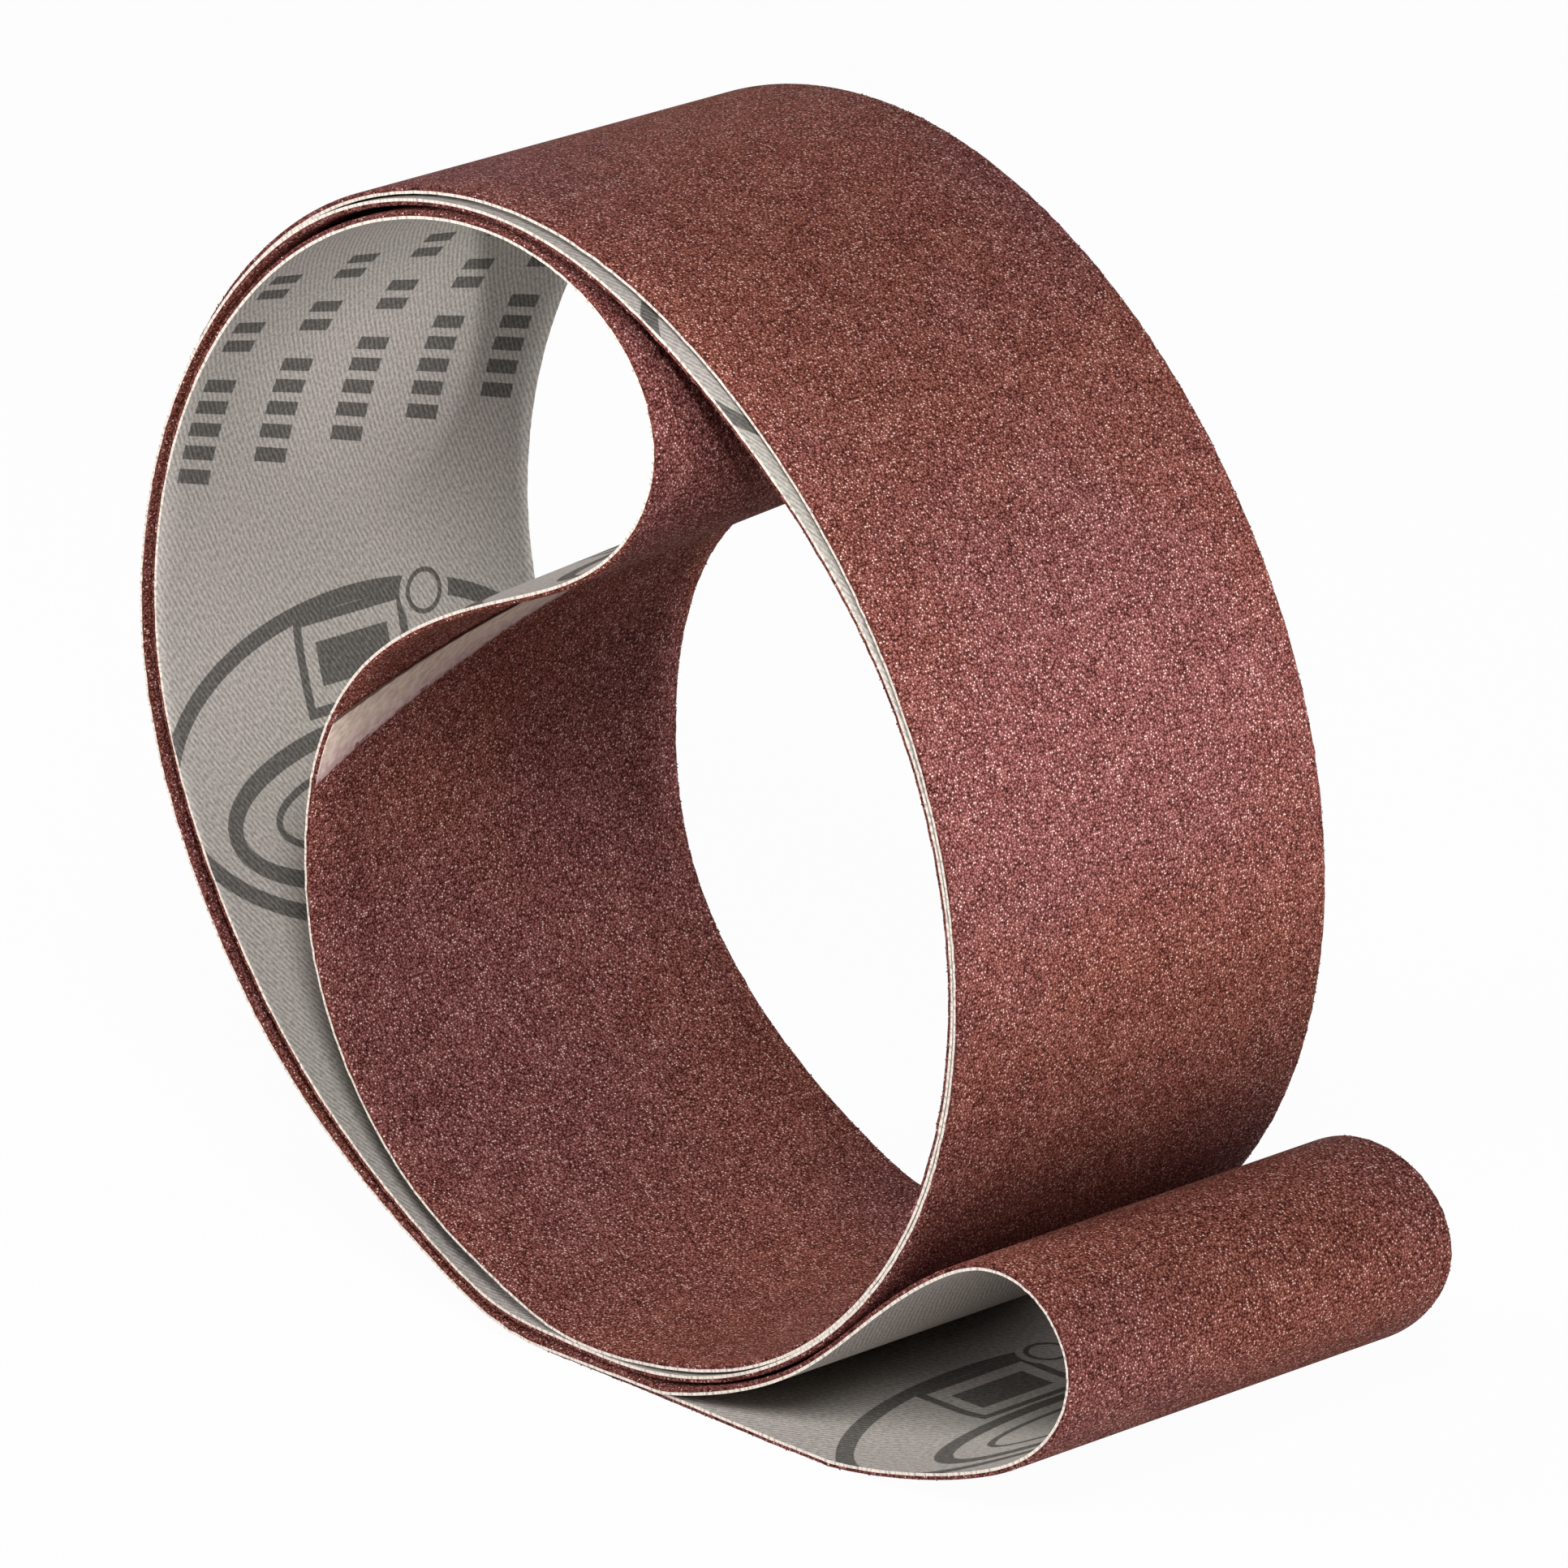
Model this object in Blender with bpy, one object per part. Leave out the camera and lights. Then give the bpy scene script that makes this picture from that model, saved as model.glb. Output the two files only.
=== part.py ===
"""Endless abrasive cloth belt, laid back to back and rolled up about one and a half turns."""
import bpy
import numpy as np

# Driving sizes of the belt
BELT_WIDTH = 0.075
CLOTH_THICKNESS = 0.0006
COAT_THICKNESS = 0.00035
BOND_CLEARANCE = 0.00005
SPLICE_PLACE = 0.55
SPLICE_ANGLE = 57.0
SPLICE_WIDTH = 0.0103
SPLICE_THICKNESS = 0.00015
SPLICE_CLEARANCE = 0.00012

# Driving sizes of the roll
ROLL_HEIGHT = 0.175
TURN_AIR = 0.00045
STATIONS = 330

# Derived pitches between neighbouring turns, middle of cloth to middle of cloth
COAT_OUTSIDE = CLOTH_THICKNESS / 2 + BOND_CLEARANCE + COAT_THICKNESS
BACK_TO_BACK = CLOTH_THICKNESS + TURN_AIR
GRAIN_TO_GRAIN = 2 * COAT_OUTSIDE + TURN_AIR
UNIT = ROLL_HEIGHT / 175
ROLL_CENTRE = np.array([-0.011, 0.088]) * (UNIT / 0.001)

# First turn under the roll: x, height, far edge moved in x and in height, set-back of the edges
PRESSED = COAT_OUTSIDE / UNIT - 0.25
UNDER_ROLL = [
    (46, PRESSED, 0, 0, 0),
    (30, PRESSED, 0, 0, 0.5),
    (12, PRESSED, 0, 0, 1.2),
    (-9, PRESSED, 0, 0, 1.8),
    (-20, 1.7, 0, PRESSED - 1.7, 2),
    (-34, 7.2, -0.8, -6.3, 2),
    (-50, 16.2, -1.4, -6.9, 2),
]
# First turn round the roll: angle, radius, far edge radius change, set-back of the edges
ROUND_ROLL = [
    (225, 81.3, 2.2, 2),
    (210, 82.2, 0, 2),
    (180, 87.2, 0, 2),
    (150, 89.7, 0, 1.7),
    (120, 89.8, 0, 0.9),
    (90, 85.5, 0, 0.2),
    (60, 79.9, 0, 0),
    (30, 79.8, -0.7, 0),
    (0, 84.9, -1.2, 0),
    (-30, 90.1, -0.8, 0),
    (-60, 89.6, 0, 0),
]
# Loop and S-bend inside the roll: x, height, far edge moved in x and in height
INNER_LOOP = [
    (-2.4, 165.3, 0, 0),
    (8.8, 156.3, 0, 1),
    (13.1, 144.6, 0, 2.6),
    (8.6, 131.8, 0, 4),
    (-2.6, 122, -1, 4.8),
    (-19.7, 114.3, -1.5, 5),
    (-37.4, 105.9, -2.2, 4.6),
    (-51.1, 94.9, -2.6, 3),
    (-59.2, 80.8, -1.6, 1),
    (-61.7, 65, -0.7, 0),
    (-59.6, 48, 0.2, 0.2),
    (-52.1, 32.6, 1.4, 1.2),
    (-38.6, 18.7, 2.2, 2.4),
    (-22, 9.9, 1, 2.2),
]
# Small fold sticking out at the foot: x, height, far edge moved in x
FOOT_FOLD = [
    (58, 25.7, 0),
    (70.7, 35.1, 0),
    (82, 39.5, 0.4),
    (92.5, 36.6, 1.8),
    (97.6, 27.5, 2.2),
    (92.8, 16, 1.2),
    (79, 7.6, 0),
    (62, 2.7, 0),
]


def hump(angle, centre, half_width):
    """Smooth rise to one at the centre angle and back to nothing."""
    reach = np.clip(np.abs(angle - centre) / half_width, 0, 1)
    return (1 + np.cos(np.pi * reach)) / 2


def turned(angle, radius):
    """Points at the given angles and radii round the roll centre."""
    angle = np.radians(angle)
    return ROLL_CENTRE + np.stack([np.cos(angle), np.sin(angle)], axis=1) * radius[:, None]


def inward(points, distance):
    """The points moved towards the roll centre."""
    reach = ROLL_CENTRE - points
    reach /= np.linalg.norm(reach, axis=1, keepdims=True)
    return points + reach * distance[:, None]


def rows(near, far, back=0.0, rest=COAT_OUTSIDE):
    """Control rows: near x and z, far x and z, set-back, least height."""
    count = len(near)
    return np.column_stack([near, far, np.full(count, back), np.full(count, rest)])


def control_rows():
    """The belt's middle line as one closed list of rows, clockwise seen from the front."""
    under = np.array(UNDER_ROLL, float) * UNIT
    around = np.array(ROUND_ROLL, float)
    radius = around[:, 1] * UNIT
    near = np.vstack([under[:, :2], turned(around[:, 0], radius)])
    far = np.vstack([under[:, :2] + under[:, 2:4], turned(around[:, 0], radius + around[:, 2] * UNIT)])
    back = np.concatenate([under[:, 4], around[:, 3] * UNIT])
    angle = np.degrees(np.arctan2(near[:, 1] - ROLL_CENTRE[1], near[:, 0] - ROLL_CENTRE[0]))
    angle[: len(under)] %= 360
    angle[len(under) : len(under) + 2] %= 360

    # Air left between the turns: the pair opens at the top right, the second turn hangs free at the left
    pair = BACK_TO_BACK + 2.1 * UNIT * hump(angle, 63, 58)
    hanging = 1.6 * hump(angle, 205, 55) + 0.7 * hump(angle, 95, 50) + 0.5 * hump(angle, 280, 25)
    second = pair + GRAIN_TO_GRAIN + (0.25 + hanging) * UNIT

    first_turn = rows(near, far, back)
    start, top = 2, len(under) + 6
    turn = slice(start, top)
    second_turn = rows(inward(near[turn], second[turn]), inward(far[turn], second[turn]))
    loop = np.array(INNER_LOOP) * UNIT
    inner_loop = rows(loop[:, :2], loop[:, :2] + loop[:, 2:])
    foot = slice(start, start + 2)
    lying = second[foot] + BACK_TO_BACK + 0.4 * UNIT
    floor_turn = rows(inward(near[foot], lying), inward(far[foot], lying + np.array([0.5, 2.0]) * UNIT))[::-1]
    pair_right = slice(top, len(near))
    right = rows(inward(near[pair_right], pair[pair_right]), inward(far[pair_right], pair[pair_right]))[::-1]
    left = rows(inward(near[turn], pair[turn]), inward(far[turn], pair[turn]))[::-1]
    left[-5:, 5] += BACK_TO_BACK
    leaving_angle = np.array([-68.0, -54.0])
    leaving_radius = np.array([88.6, 90.2]) * UNIT + GRAIN_TO_GRAIN
    leaving = turned(leaving_angle, leaving_radius)
    leave_rows = rows(leaving, leaving, 0.0, COAT_OUTSIDE + BACK_TO_BACK)
    fold = np.array(FOOT_FOLD, float) * UNIT
    foot_fold = rows(fold[:, :2], fold[:, :2] + np.column_stack([fold[:, 2], np.zeros(len(fold))]))
    return np.vstack([first_turn, second_turn, inner_loop, floor_turn, right, left, leave_rows, foot_fold])


def closed_spline(points, steps=24):
    """Smooth closed curve through the rows, knots spaced by chord length."""
    count = len(points)
    chord = np.linalg.norm((np.roll(points, -1, axis=0) - points)[:, :2], axis=1)
    before = np.roll(chord, 1)
    following = np.roll(points, -1, axis=0)
    previous = np.roll(points, 1, axis=0)
    system = np.zeros((count, count))
    index = np.arange(count)
    system[index, index - 1] = chord
    system[index, index] = 2 * (before + chord)
    system[index, (index + 1) % count] = before
    pull = 3 * (chord[:, None] * (points - previous) / before[:, None]
                + before[:, None] * (following - points) / chord[:, None])
    slope = np.linalg.solve(system, pull)
    t = (np.arange(steps) / steps)[None, :, None]
    span = chord[:, None, None]
    curve = ((2 * t ** 3 - 3 * t ** 2 + 1) * points[:, None] + (t ** 3 - 2 * t ** 2 + t) * span * slope[:, None]
             + (3 * t ** 2 - 2 * t ** 3) * following[:, None]
             + (t ** 3 - t ** 2) * span * np.roll(slope, -1, axis=0)[:, None])
    return curve.reshape(count * steps, -1)


def middle_line(count):
    """Stations along the belt, closer together where it bends tightly."""
    curve = closed_spline(control_rows())
    step = np.roll(curve, -1, axis=0)[:, :2] - curve[:, :2]
    length = np.linalg.norm(step, axis=1)
    heading = np.unwrap(np.arctan2(step[:, 1], step[:, 0]))
    bend = np.abs(np.gradient(heading)) / length
    bend = np.convolve(np.concatenate([bend[-20:], bend, bend[:20]]), np.ones(41) / 41, "valid")
    weight = length * np.sqrt(bend + 8.0)
    run = np.concatenate([[0], np.cumsum(weight)])
    closed = np.vstack([curve, curve[:1]])
    wanted = np.linspace(0, run[-1], count + 1)[:-1]
    line = np.column_stack([np.interp(wanted, run, column) for column in closed.T])
    upper = line[:, 5] > COAT_OUTSIDE + BACK_TO_BACK / 2
    least = COAT_OUTSIDE + np.where(upper, BACK_TO_BACK, 0)
    line[:, 1] = np.maximum(line[:, 1], least)
    line[:, 3] = np.maximum(line[:, 3], least)
    return line


def outward(points):
    """Unit normals of a closed clockwise curve, away from what it encloses."""
    run = np.roll(points, -1, axis=0) - np.roll(points, 1, axis=0)
    run /= np.linalg.norm(run, axis=1, keepdims=True)
    return np.column_stack([-run[:, 1], run[:, 0]])


def edge_curves(line, distance):
    """Near and far edges of the surface a distance outside the middle line."""
    near = line[:, :2] + outward(line[:, :2]) * distance
    far = line[:, 2:4] + outward(line[:, 2:4]) * distance
    back = line[:, 4]
    return (np.column_stack([near[:, 0], back, near[:, 1]]),
            np.column_stack([far[:, 0], back + BELT_WIDTH, far[:, 1]]))


# Colour and roughness of each piece
CLOTH_FINISH = ((0.33, 0.30, 0.27), 0.92)
COAT_FINISH = ((0.16, 0.06, 0.05), 0.85)
SPLICE_FINISH = ((0.46, 0.32, 0.27), 0.55)


def add_piece(name, vertices, faces, finish):
    """One mesh object from its vertices and faces, with its own material."""
    mesh = bpy.data.meshes.new(name)
    mesh.from_pydata([tuple(v) for v in vertices], [], faces)
    piece = bpy.data.objects.new(name, mesh)
    bpy.context.scene.collection.objects.link(piece)
    colour, roughness = finish
    material = bpy.data.materials.new(name)
    material.use_nodes = True
    shader = material.node_tree.nodes["Principled BSDF"]
    shader.inputs["Base Color"].default_value = (*colour, 1.0)
    shader.inputs["Roughness"].default_value = roughness
    shader.inputs["Metallic"].default_value = 0.0
    mesh.materials.append(material)
    return piece


def belt_layer(name, line, inside, outside, finish):
    """One closed layer of the belt between two distances from the middle line."""
    near_in, far_in = edge_curves(line, inside)
    near_out, far_out = edge_curves(line, outside)
    vertices = np.stack([near_in, near_out, far_out, far_in], axis=1).reshape(-1, 3)
    faces = []
    count = len(line)
    for i in range(count):
        a, b, c, d = (4 * i + k for k in range(4))
        a2, b2, c2, d2 = (4 * ((i + 1) % count) + k for k in range(4))
        for p, q, r, s in ((a, a2, b2, b), (b, b2, c2, c), (c, c2, d2, d), (a, d, d2, a2)):
            faces += [(p, q, r), (p, r, s)]
    return add_piece(name, vertices, faces, finish)


def splice_strip(line, place):
    """Thin strip slantwise across the grain side, from a place given as a share of the belt length."""
    step = np.linalg.norm(np.roll(line, -1, axis=0)[:, :2] - line[:, :2], axis=1)
    length = np.concatenate([[0], np.cumsum(step)])
    start = place * length[-1]
    inside = COAT_OUTSIDE + SPLICE_CLEARANCE
    sheets = []
    for distance in (inside, inside + SPLICE_THICKNESS):
        near, far = edge_curves(line, distance)
        near, far = np.vstack([near, near[:1]]), np.vstack([far, far[:1]])
        across = np.linspace(0, 1, 31)
        slant = BELT_WIDTH / np.tan(np.radians(SPLICE_ANGLE))
        broad = SPLICE_WIDTH / np.sin(np.radians(SPLICE_ANGLE))
        sheet = []
        for share in np.linspace(0, 1, 5):
            along = start - slant * across - broad * share
            near_point = np.column_stack([np.interp(along, length, column) for column in near.T])
            far_point = np.column_stack([np.interp(along, length, column) for column in far.T])
            sheet.append(near_point + (far_point - near_point) * across[:, None])
        sheets.append(np.array(sheet))
    columns, count = sheets[0].shape[:2]
    vertices = np.vstack([sheet.reshape(-1, 3) for sheet in sheets])
    lid = columns * count
    faces = []
    for i in range(columns - 1):
        for j in range(count - 1):
            p, q, r, s = i * count + j, i * count + j + 1, (i + 1) * count + j + 1, (i + 1) * count + j
            faces += [(s, r, q, p), (lid + p, lid + q, lid + r, lid + s)]
    rim = [j for j in range(count)] + [i * count + count - 1 for i in range(1, columns)]
    rim += [(columns - 1) * count + j for j in range(count - 2, -1, -1)] + [i * count for i in range(columns - 2, 0, -1)]
    for here, there in zip(rim, rim[1:] + rim[:1]):
        faces.append((here, there, lid + there, lid + here))
    return add_piece("splice_strip", vertices, faces, SPLICE_FINISH)


for old in list(bpy.data.objects):
    bpy.data.objects.remove(old, do_unlink=True)

belt_line = middle_line(STATIONS)
outer_edges = np.vstack(edge_curves(belt_line, COAT_OUTSIDE))
roll_middle = (outer_edges.min(axis=0) + outer_edges.max(axis=0)) / 2
belt_layer("backing_cloth", belt_line, -CLOTH_THICKNESS / 2, CLOTH_THICKNESS / 2, CLOTH_FINISH)
belt_layer("grain_coat", belt_line, CLOTH_THICKNESS / 2 + BOND_CLEARANCE, COAT_OUTSIDE, COAT_FINISH)
splice_strip(belt_line, SPLICE_PLACE)

# The row frame: origin on the floor under the middle of the roll
for piece in bpy.data.objects:
    for vertex in piece.data.vertices:
        vertex.co.x -= roll_middle[0]
        vertex.co.y -= roll_middle[1]
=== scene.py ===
"""Looks of a rolled-up sanding belt: printed twill backing, grain coat, splice and studio."""
import math

import bpy
import numpy as np
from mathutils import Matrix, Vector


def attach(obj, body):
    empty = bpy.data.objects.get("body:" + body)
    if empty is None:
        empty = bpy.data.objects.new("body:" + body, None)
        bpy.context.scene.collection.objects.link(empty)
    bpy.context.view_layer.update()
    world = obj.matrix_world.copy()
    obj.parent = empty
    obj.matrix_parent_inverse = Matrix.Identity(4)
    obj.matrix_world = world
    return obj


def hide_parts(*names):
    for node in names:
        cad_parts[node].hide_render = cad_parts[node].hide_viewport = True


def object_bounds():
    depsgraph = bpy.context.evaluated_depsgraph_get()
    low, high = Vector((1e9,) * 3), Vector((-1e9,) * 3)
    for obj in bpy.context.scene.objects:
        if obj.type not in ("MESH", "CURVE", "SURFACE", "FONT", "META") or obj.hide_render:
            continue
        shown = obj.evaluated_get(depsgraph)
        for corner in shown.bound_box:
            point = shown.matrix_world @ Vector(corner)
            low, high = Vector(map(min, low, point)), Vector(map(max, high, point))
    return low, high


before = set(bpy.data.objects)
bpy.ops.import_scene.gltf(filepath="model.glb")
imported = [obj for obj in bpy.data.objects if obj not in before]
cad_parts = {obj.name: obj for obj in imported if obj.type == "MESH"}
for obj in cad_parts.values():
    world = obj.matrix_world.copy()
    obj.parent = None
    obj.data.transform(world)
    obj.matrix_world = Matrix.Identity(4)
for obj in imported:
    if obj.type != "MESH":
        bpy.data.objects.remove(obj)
cad_low, cad_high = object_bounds()


# Backing cloth. A heavy cotton twill ribbon, sized grey, joined into an endless belt about 1.82 m round.
# It lies back to back, is rolled up one and a half turns and keeps a small fold at its foot.
# Its cut edges stay the cream of the raw yarn, and its back carries a plain guide print.
BELT_WIDTH = 0.075
CLOTH_THICKNESS = 0.0006
CLOTH_BACK = -0.00042
CLOTH_FRONT = 0.00003
COAT_OUTSIDE = 0.0007
TURN_AIR = 0.00045
BACK_TO_BACK = CLOTH_THICKNESS + TURN_AIR
GRAIN_TO_GRAIN = 2 * COAT_OUTSIDE + TURN_AIR
MM = 0.001
ROLL_CENTRE = np.array([-11.0, 88.0])
PRESSED = COAT_OUTSIDE / MM - 0.25

# Rows of the middle line in mm: under the roll, then x, height, far edge moved in x and in height, set-back
UNDER_ROLL = [
    (46, PRESSED, 0, 0, 0),
    (30, PRESSED, 0, 0, 0.5),
    (12, PRESSED, 0, 0, 1.2),
    (-9, PRESSED, 0, 0, 1.8),
    (-20, 1.7, 0, PRESSED - 1.7, 2),
    (-34, 7.2, -0.8, -6.3, 2),
    (-50, 16.2, -1.4, -6.9, 2),
]
# Round the roll: angle, radius, far edge radius change, set-back
ROUND_ROLL = [
    (225, 81.3, 2.2, 2),
    (210, 82.2, 0, 2),
    (180, 87.2, 0, 2),
    (150, 89.7, 0, 1.7),
    (120, 89.8, 0, 0.9),
    (90, 85.5, 0, 0.2),
    (60, 79.9, 0, 0),
    (30, 79.8, -0.7, 0),
    (0, 84.9, -1.2, 0),
    (-30, 90.1, -0.8, 0),
    (-60, 89.6, 0, 0),
]
# Loop and S-bend inside the roll: x, height, far edge moved in x and in height
INNER_LOOP = [
    (-2.4, 165.3, 0, 0),
    (8.8, 156.3, 0, 1),
    (13.1, 144.6, 0, 2.6),
    (8.6, 131.8, 0, 4),
    (-2.6, 122, -1, 4.8),
    (-19.7, 114.3, -1.5, 5),
    (-37.4, 105.9, -2.2, 4.6),
    (-51.1, 94.9, -2.6, 3),
    (-59.2, 80.8, -1.6, 1),
    (-61.7, 65, -0.7, 0),
    (-59.6, 48, 0.2, 0.2),
    (-52.1, 32.6, 1.4, 1.2),
    (-38.6, 18.7, 2.2, 2.4),
    (-22, 9.9, 1, 2.2),
]
# Small fold at the foot: x, height, far edge moved in x
FOOT_FOLD = [
    (58, 25.7, 0),
    (70.7, 35.1, 0),
    (82, 39.5, 0.4),
    (92.5, 36.6, 1.8),
    (97.6, 27.5, 2.2),
    (92.8, 16, 1.2),
    (79, 7.6, 0),
    (62, 2.7, 0),
]
# Rows of the first turn that the second turn follows, and how many of the left rows lie on the layer below
TURN = slice(2, len(UNDER_ROLL) + 6)
RAISED_ROWS = 5
# Air in mm: the most, and the middle and half width in degrees of the arc that it opens over
PAIR_AIR = [(2.1, 63, 58)]
HANGING_AIR = [(1.6, 205, 55), (0.7, 95, 50), (0.5, 280, 25)]
SECOND_TURN_AIR = 0.25
FLOOR_TURN_AIR = 0.4
FLOOR_TURN_FAR_AIR = [0.5, 2.0]
# At the upper right the inner turns lie closer to the outer one than the air above, and stand proud of it
CLOSER_SHARE = 0.7
CLOSER_END = 110
CLOSER_FADE = 50
PROUD_START = 30
PROUD_FADE = 60
# Where the belt leaves the roll for the foot: angles and radii
LEAVING_ANGLES = [-68.0, -54.0]
LEAVING_RADII = [88.6, 90.2]
# Columns of a row after its near x and height and its far x and height
SET_BACK = 4
LEAST_HEIGHT = 5
# Stations along the belt, the reach of the smoothing of its bends, and the bend per metre of a straight run
STATIONS = 1400
BEND_SPAN = 20
STRAIGHT_BEND = 8.0


def hump(angle, centre, half_width):
    """Smooth rise to one at the centre angle and back to nothing."""
    reach = np.clip(np.abs(angle - centre) / half_width, 0, 1)
    return (1 + np.cos(np.pi * reach)) / 2


def turned(angle, radius):
    """Points at the given angles and radii round the roll centre."""
    angle = np.radians(angle)
    return ROLL_CENTRE + np.stack([np.cos(angle), np.sin(angle)], axis=1) * radius[:, None]


def inward(points, distance):
    """The points moved towards the roll centre."""
    reach = ROLL_CENTRE - points
    reach /= np.linalg.norm(reach, axis=1, keepdims=True)
    return points + reach * distance[:, None]


def rows(near, far, back=0.0, rest=COAT_OUTSIDE / MM):
    """Control rows: near x and z, far x and z, set-back, least height."""
    count = len(near)
    return np.column_stack([near, far, np.full(count, back), np.full(count, rest)])


def air(angle, arcs):
    """Air between two turns in mm, added up over the arcs where it opens."""
    return sum(most * hump(angle, centre, half_width) for most, centre, half_width in arcs)


def laid_rows():
    """The belt's middle line in mm as one closed list of rows, clockwise seen from the front."""
    back_to_back = BACK_TO_BACK / MM
    grain_to_grain = GRAIN_TO_GRAIN / MM
    under = np.array(UNDER_ROLL, float)
    around = np.array(ROUND_ROLL, float)
    near = np.vstack([under[:, :2], turned(around[:, 0], around[:, 1])])
    far = np.vstack([under[:, :2] + under[:, 2:4], turned(around[:, 0], around[:, 1] + around[:, 2])])
    back = np.concatenate([under[:, 4], around[:, 3]])
    angle = np.degrees(np.arctan2(near[:, 1] - ROLL_CENTRE[1], near[:, 0] - ROLL_CENTRE[0]))
    angle[: len(under) + 2] %= 360

    # Outer turn, second turn, inner loop, and where the loop comes to lie on the bottom of the roll
    pair = back_to_back + air(angle, PAIR_AIR)
    second = pair + grain_to_grain + SECOND_TURN_AIR + air(angle, HANGING_AIR)
    first_turn = rows(near, far, back)
    second_turn = rows(inward(near[TURN], second[TURN]), inward(far[TURN], second[TURN]))
    loop = np.array(INNER_LOOP)
    inner_loop = rows(loop[:, :2], loop[:, :2] + loop[:, 2:])
    foot = slice(TURN.start, TURN.start + 2)
    lying = second[foot] + back_to_back + FLOOR_TURN_AIR
    far_lying = lying + np.array(FLOOR_TURN_FAR_AIR)
    floor_turn = rows(inward(near[foot], lying), inward(far[foot], far_lying))[::-1]

    # The turn that lies back to back with the outer one: its right side, then its left
    side = slice(TURN.stop, len(near))
    closer = CLOSER_SHARE * (pair - back_to_back) * np.clip((CLOSER_END - angle) / CLOSER_FADE, 0, 1)
    proud = -closer * (1 + np.clip((angle - PROUD_START) / PROUD_FADE, 0, 1))
    inner = pair - closer
    right = rows(inward(near[side], inner[side]), inward(far[side], inner[side]), proud[side])[::-1]
    left = rows(inward(near[TURN], inner[TURN]), inward(far[TURN], inner[TURN]), proud[TURN])[::-1]
    left[-RAISED_ROWS:, LEAST_HEIGHT] += back_to_back

    # The way out to the foot, and the small fold there
    leaving = turned(np.array(LEAVING_ANGLES), np.array(LEAVING_RADII) + grain_to_grain)
    leave_rows = rows(leaving, leaving, 0.0, COAT_OUTSIDE / MM + back_to_back)
    fold = np.array(FOOT_FOLD, float)
    foot_fold = rows(fold[:, :2], fold[:, :2] + np.column_stack([fold[:, 2], np.zeros(len(fold))]))
    return np.vstack([first_turn, second_turn, inner_loop, floor_turn, right, left, leave_rows, foot_fold])


def closed_spline(points, steps=24):
    """Smooth closed curve through the rows, knots spaced by chord length."""
    count = len(points)
    following = np.roll(points, -1, axis=0)
    previous = np.roll(points, 1, axis=0)
    chord = np.linalg.norm((following - points)[:, :2], axis=1)
    before = np.roll(chord, 1)
    index = np.arange(count)
    system = np.zeros((count, count))
    system[index, index - 1] = chord
    system[index, index] = 2 * (before + chord)
    system[index, (index + 1) % count] = before
    pull = 3 * (chord[:, None] * (points - previous) / before[:, None]
                + before[:, None] * (following - points) / chord[:, None])
    slope = np.linalg.solve(system, pull)
    t = (np.arange(steps) / steps)[None, :, None]
    span = chord[:, None, None]
    curve = ((2 * t ** 3 - 3 * t ** 2 + 1) * points[:, None]
             + (t ** 3 - 2 * t ** 2 + t) * span * slope[:, None]
             + (3 * t ** 2 - 2 * t ** 3) * following[:, None]
             + (t ** 3 - t ** 2) * span * np.roll(slope, -1, axis=0)[:, None])
    return curve.reshape(count * steps, -1)


def middle_line(count):
    """Stations along the belt in metres, closer together where it bends tightly."""
    curve = closed_spline(laid_rows()) * MM
    step = np.roll(curve, -1, axis=0)[:, :2] - curve[:, :2]
    length = np.linalg.norm(step, axis=1)
    heading = np.unwrap(np.arctan2(step[:, 1], step[:, 0]))
    bend = np.abs(np.gradient(heading)) / length
    window = 2 * BEND_SPAN + 1
    bend = np.concatenate([bend[-BEND_SPAN:], bend, bend[:BEND_SPAN]])
    bend = np.convolve(bend, np.ones(window) / window, "valid")
    run = np.concatenate([[0], np.cumsum(length * np.sqrt(bend + STRAIGHT_BEND))])
    closed = np.vstack([curve, curve[:1]])
    wanted = np.linspace(0, run[-1], count + 1)[:-1]
    line = np.column_stack([np.interp(wanted, run, column) for column in closed.T])
    upper = line[:, LEAST_HEIGHT] > COAT_OUTSIDE + BACK_TO_BACK / 2
    least = COAT_OUTSIDE + np.where(upper, BACK_TO_BACK, 0)
    line[:, 1] = np.maximum(line[:, 1], least)
    line[:, 3] = np.maximum(line[:, 3], least)
    return line


def outward(points):
    """Unit normals of the closed line, towards the grain side."""
    run = np.roll(points, -1, axis=0) - np.roll(points, 1, axis=0)
    run /= np.linalg.norm(run, axis=1, keepdims=True)
    return np.column_stack([-run[:, 1], run[:, 0]])


def belt_edges(line, distance):
    """Near and far edges of the surface at a distance outside the middle line."""
    near = line[:, :2] + outward(line[:, :2]) * distance
    far = line[:, 2:4] + outward(line[:, 2:4]) * distance
    near = np.column_stack([near[:, 0], line[:, SET_BACK], near[:, 1]])
    far = np.column_stack([far[:, 0], line[:, SET_BACK] + BELT_WIDTH, far[:, 1]])
    return near, far


# The rolled belt is centred on the CAD's own box, its outer turn flush with the front of it
belt_line = middle_line(STATIONS)
outer_rim = np.vstack(belt_edges(belt_line, COAT_OUTSIDE))[:, 0]
belt_line[:, [0, 2]] += (cad_low[0] + cad_high[0] - outer_rim.min() - outer_rim.max()) / 2
belt_line[:, SET_BACK] += cad_low[1]
steps_along = np.linalg.norm((np.roll(belt_line, -1, axis=0) - belt_line)[:, :2], axis=1)
belt_run = np.concatenate([[0], np.cumsum(steps_along)])


# Layers: strips across a face, the strip at its cut edge as a share of the width, angle of a sharp edge,
# and the seed of the uneven cut
LAYER_COLUMNS = 12
EDGE_STRIP = 0.005
SHARP_ANGLE = math.radians(50)
CUT_SEED = 7

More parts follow.
